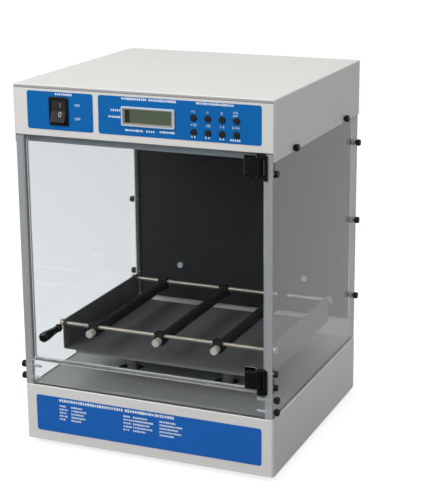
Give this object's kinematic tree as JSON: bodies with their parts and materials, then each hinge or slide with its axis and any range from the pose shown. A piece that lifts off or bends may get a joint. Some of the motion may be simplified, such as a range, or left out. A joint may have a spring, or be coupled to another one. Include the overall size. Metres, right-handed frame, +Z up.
{
  "type": "incubated benchtop shaker",
  "caption": "Benchtop incubator shaker: heated clear-walled chamber with a hinged clear door over an orbiting tray with sliding clamp bars.",
  "frame": {"origin": "centre of the footprint, in the plane of the feet on the bench", "axes": "+X to the right seen from the front, +Y towards the rear, +Z up; the door and controls face -Y"},
  "size_m": [0.364, 0.37, 0.485],
  "materials": {
    "body_paint": "smooth off-white powder coat",
    "base_plate_steel": "grey coat",
    "foot_rubber": "matt",
    "blue_label": "satin polyester film",
    "clear_acrylic": "clear polished sheet",
    "black_plastic": "moulded, fine grain",
    "black_paint": "matt black coat",
    "white_plastic": "smooth",
    "black_steel": "blackened",
    "galvanised_steel": "zinc coated",
    "heater_steel": "sheathed element",
    "aluminium": "machined",
    "circuit_board": "lacquered laminate",
    "lcd_glass": "grey-green display",
    "silver_plastic": "silver coat",
    "black_gloss": "moulded gloss",
    "motor_paint": "black coat",
    "bearing_steel": "ground steel",
    "belt_rubber": "matt",
    "shaft_steel": "turned steel",
    "tray_paint": "dark grey satin coat",
    "nickel": "nickel plate",
    "sleeve_rubber": "smooth black tube",
    "key_rubber": "moulded"
  },
  "bodies": {
    "cabinet": {"base_shell": "body_paint", "base_plate": "base_plate_steel", "rubber_feet": "foot_rubber", "label_plates": "blue_label", "side_window_left": "clear_acrylic", "side_window_right": "clear_acrylic", "front_lower_rail": "clear_acrylic", "window_thumbscrews": "black_plastic", "rear_panel": "body_paint", "baffle_panel": "black_paint", "baffle_screws": "white_plastic", "hinge_brackets": "black_plastic", "hinge_fasteners": "black_steel", "hood_shell": "body_paint", "hood_fascia": "body_paint", "ceiling_pan": "body_paint", "fan_housing": "black_plastic", "air_duct": "galvanised_steel", "heater_element": "heater_steel", "power_supply": "aluminium", "control_board": "circuit_board", "lcd_module": "lcd_glass", "display_bezel": "silver_plastic", "switch_housing": "black_plastic", "power_inlet": "black_plastic", "drive_motor": "motor_paint", "bearing_housings": "aluminium", "base_bearings": "bearing_steel", "drive_belt": "belt_rubber"},
    "door": {"door_panel": "clear_acrylic", "door_knob": "black_plastic", "hinge_leaves": "black_plastic"},
    "rocker": {"switch_rocker": "black_gloss"},
    "crank": {"main_crank": "shaft_steel", "driven_pulley": "aluminium"},
    "platform": {"drive_frame": "aluminium", "frame_bearings": "bearing_steel", "platform_plate": "aluminium", "tray": "tray_paint", "cross_rods": "nickel"},
    "motor_rotor": {"motor_pulley": "aluminium"},
    "fan": {"fan_rotor": "black_plastic"},
    "idler_1": {"idler_crank_1": "shaft_steel"},
    "bar_1": {"clamp_bar_1": "sleeve_rubber"},
    "tie_1": {"tie_rod_1": "nickel"},
    "idler_2": {"idler_crank_2": "shaft_steel"},
    "bar_2": {"clamp_bar_2": "sleeve_rubber"},
    "tie_2": {"tie_rod_2": "nickel"},
    "idler_3": {"idler_crank_3": "shaft_steel"},
    "bar_3": {"clamp_bar_3": "sleeve_rubber"},
    "tie_3": {"tie_rod_3": "nickel"},
    "button_1": {"key_1": "key_rubber"},
    "button_2": {"key_2": "key_rubber"},
    "button_3": {"key_3": "key_rubber"},
    "button_4": {"key_4": "key_rubber"},
    "button_5": {"key_5": "key_rubber"},
    "button_6": {"key_6": "key_rubber"},
    "button_7": {"key_7": "key_rubber"},
    "button_8": {"key_8": "key_rubber"}
  },
  "joints": [
    {"name": "door_hinge", "type": "hinge", "parent": "cabinet", "child": "door", "pos_m": [0.1565, -0.166, 0.27], "axis": [0, 0, 1], "range_deg": [0, 110]},
    {"name": "switch_rock", "type": "hinge", "parent": "cabinet", "child": "rocker", "pos_m": [-0.1102, -0.167, 0.4534], "axis": [1, 0, 0], "range_deg": [0, 18]},
    {"name": "key_1_press", "type": "slide", "parent": "cabinet", "child": "button_1", "axis": [0, 1, 0], "range_m": [0, 0.0008], "stiffness_N_per_m": 400, "springref_m": -0.0005},
    {"name": "key_2_press", "type": "slide", "parent": "cabinet", "child": "button_2", "axis": [0, 1, 0], "range_m": [0, 0.0008], "stiffness_N_per_m": 400, "springref_m": -0.0005},
    {"name": "key_3_press", "type": "slide", "parent": "cabinet", "child": "button_3", "axis": [0, 1, 0], "range_m": [0, 0.0008], "stiffness_N_per_m": 400, "springref_m": -0.0005},
    {"name": "key_4_press", "type": "slide", "parent": "cabinet", "child": "button_4", "axis": [0, 1, 0], "range_m": [0, 0.0008], "stiffness_N_per_m": 400, "springref_m": -0.0005},
    {"name": "key_5_press", "type": "slide", "parent": "cabinet", "child": "button_5", "axis": [0, 1, 0], "range_m": [0, 0.0008], "stiffness_N_per_m": 400, "springref_m": -0.0005},
    {"name": "key_6_press", "type": "slide", "parent": "cabinet", "child": "button_6", "axis": [0, 1, 0], "range_m": [0, 0.0008], "stiffness_N_per_m": 400, "springref_m": -0.0005},
    {"name": "key_7_press", "type": "slide", "parent": "cabinet", "child": "button_7", "axis": [0, 1, 0], "range_m": [0, 0.0008], "stiffness_N_per_m": 400, "springref_m": -0.0005},
    {"name": "key_8_press", "type": "slide", "parent": "cabinet", "child": "button_8", "axis": [0, 1, 0], "range_m": [0, 0.0008], "stiffness_N_per_m": 400, "springref_m": -0.0005},
    {"name": "crank_spin", "type": "hinge", "parent": "cabinet", "child": "crank", "pos_m": [0, 0, 0.05], "axis": [0, 0, 1], "continuous": true},
    {"name": "platform_orbit", "type": "hinge", "parent": "crank", "child": "platform", "pos_m": [0, 0.005, 0.067], "axis": [0, 0, 1], "continuous": true},
    {"name": "idler_1_spin", "type": "hinge", "parent": "cabinet", "child": "idler_1", "pos_m": [-0.07, -0.061, 0.045], "axis": [0, 0, 1], "continuous": true},
    {"name": "idler_2_spin", "type": "hinge", "parent": "cabinet", "child": "idler_2", "pos_m": [0.07, -0.061, 0.045], "axis": [0, 0, 1], "continuous": true},
    {"name": "idler_3_spin", "type": "hinge", "parent": "cabinet", "child": "idler_3", "pos_m": [0, 0.092, 0.045], "axis": [0, 0, 1], "continuous": true},
    {"name": "motor_spin", "type": "hinge", "parent": "cabinet", "child": "motor_rotor", "pos_m": [-0.118, 0, 0.045], "axis": [0, 0, 1], "continuous": true},
    {"name": "fan_spin", "type": "hinge", "parent": "cabinet", "child": "fan", "pos_m": [0, 0.02, 0.42], "axis": [0, 0, 1], "continuous": true},
    {"name": "bar_1_slide", "type": "slide", "parent": "platform", "child": "bar_1", "axis": [1, 0, 0], "range_m": [-0.034, 0.044]},
    {"name": "bar_2_slide", "type": "slide", "parent": "platform", "child": "bar_2", "axis": [1, 0, 0], "range_m": [-0.036, 0.038]},
    {"name": "bar_3_slide", "type": "slide", "parent": "platform", "child": "bar_3", "axis": [1, 0, 0], "range_m": [-0.028, 0.056]},
    {"name": "tie_1_turn", "type": "hinge", "parent": "bar_1", "child": "tie_1", "pos_m": [-0.1, 0, 0.1482], "axis": [0, 1, 0], "continuous": true},
    {"name": "tie_2_turn", "type": "hinge", "parent": "bar_2", "child": "tie_2", "pos_m": [-0.004, 0, 0.1482], "axis": [0, 1, 0], "continuous": true},
    {"name": "tie_3_turn", "type": "hinge", "parent": "bar_3", "child": "tie_3", "pos_m": [0.078, 0, 0.1482], "axis": [0, 1, 0], "continuous": true}
  ],
  "couplings": [
    {"joint": "platform_orbit", "follows": "crank_spin", "ratio": -1},
    {"joint": "idler_1_spin", "follows": "crank_spin", "ratio": 1},
    {"joint": "idler_2_spin", "follows": "crank_spin", "ratio": 1},
    {"joint": "idler_3_spin", "follows": "crank_spin", "ratio": 1},
    {"joint": "motor_spin", "follows": "crank_spin", "ratio": 3.75}
  ]
}
